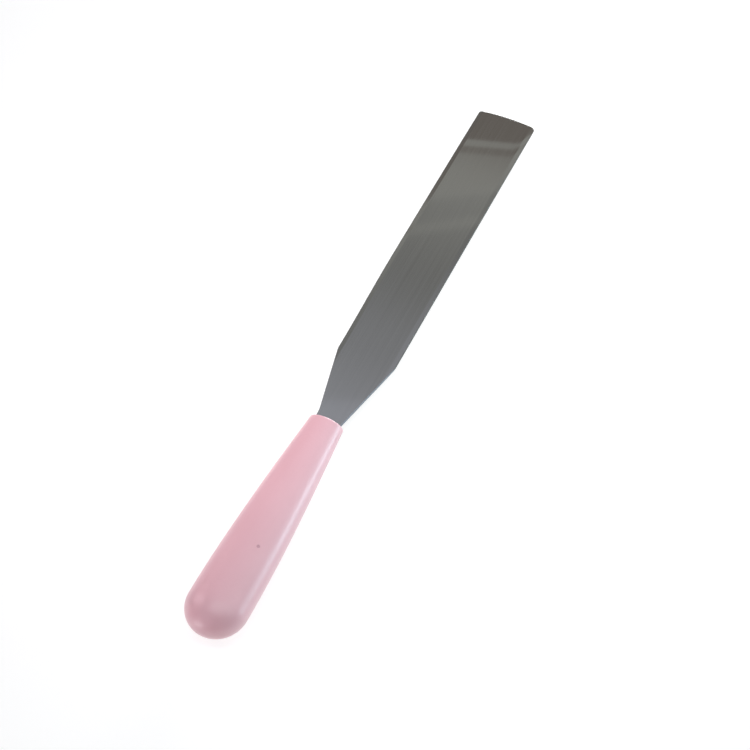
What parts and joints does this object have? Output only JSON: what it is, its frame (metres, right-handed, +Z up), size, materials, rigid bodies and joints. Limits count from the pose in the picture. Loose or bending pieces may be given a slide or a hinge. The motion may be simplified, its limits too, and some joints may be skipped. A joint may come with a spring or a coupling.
{
  "type": "palette knife",
  "caption": "Palette knife with a long straight blade, nearly square end, and a slim oval handle that swells towards a round butt.",
  "frame": {"origin": "under the middle of the knife's length, level with the lowest line of the handle's belly", "axes": "+X along the blade towards its tip, +Y across the blade, +Z up out of the blade's upper face; the long axis is at y = 0, z = 7.83 mm"},
  "size_m": [0.2434, 0.0236, 0.0157],
  "materials": {
    "blade_steel": "satin",
    "handle_lacquer": "satin",
    "cement_resin": "matte",
    "pin_painted_steel": "satin"
  },
  "bodies": {
    "root": {"blade": "blade_steel", "handle": "handle_lacquer", "tang_cement": "cement_resin", "locking_pin": "pin_painted_steel"}
  },
  "joints": []
}
